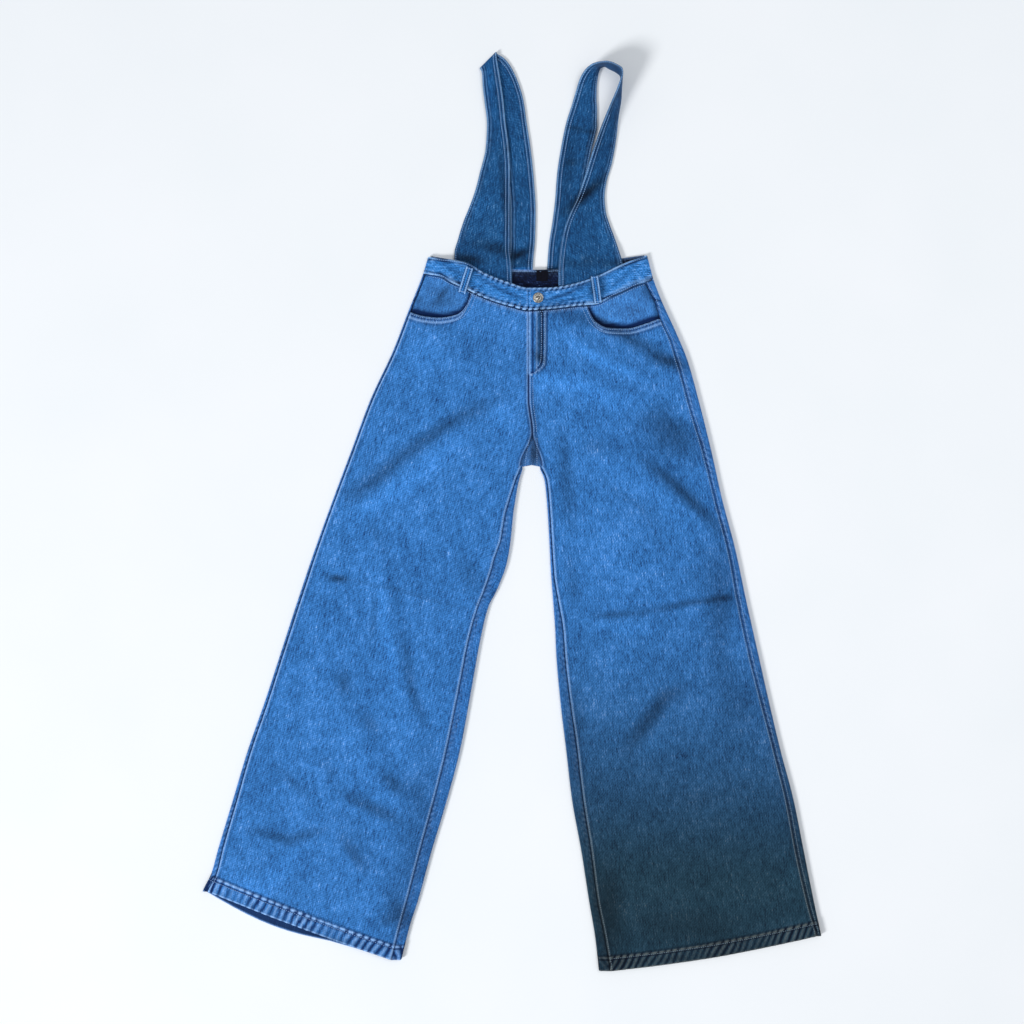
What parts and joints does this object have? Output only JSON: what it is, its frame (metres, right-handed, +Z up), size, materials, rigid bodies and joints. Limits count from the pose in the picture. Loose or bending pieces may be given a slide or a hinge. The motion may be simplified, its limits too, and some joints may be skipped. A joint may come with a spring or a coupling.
{
  "type": "wide-leg denim overalls",
  "caption": "Wide-leg denim overalls laid flat on their back, with scooped front pockets, a buttoned waistband and straps lying above the waist.",
  "frame": {"origin": "centre of the laid garment's outline, on the surface it rests on", "axes": "+Y from the hems towards the waist and the straps, +X towards the wearer's left, +Z up out of the front"},
  "size_m": [0.988, 1.4672, 0.0371],
  "materials": {
    "denim": "stone-washed indigo twill",
    "denim_back": "stone-washed indigo twill",
    "denim_inside": "darker indigo twill",
    "patch": "dark woven patch, blank",
    "nickel": "aged nickel"
  },
  "bodies": {
    "root": {"front_leg_right": "denim", "front_leg_left": "denim", "waistband_right": "denim", "waistband_left": "denim", "belt_loop_right": "denim", "belt_loop_left": "denim", "back_leg_right": "denim_back", "back_leg_left": "denim_back", "back_yoke_right": "denim_back", "back_yoke_left": "denim_back", "pocket_facing_right": "denim_back", "pocket_facing_left": "denim_back", "strap_right": "denim_inside", "strap_left": "denim_inside", "waistband_back": "denim_inside", "back_label": "patch", "waist_button": "nickel"}
  },
  "joints": []
}
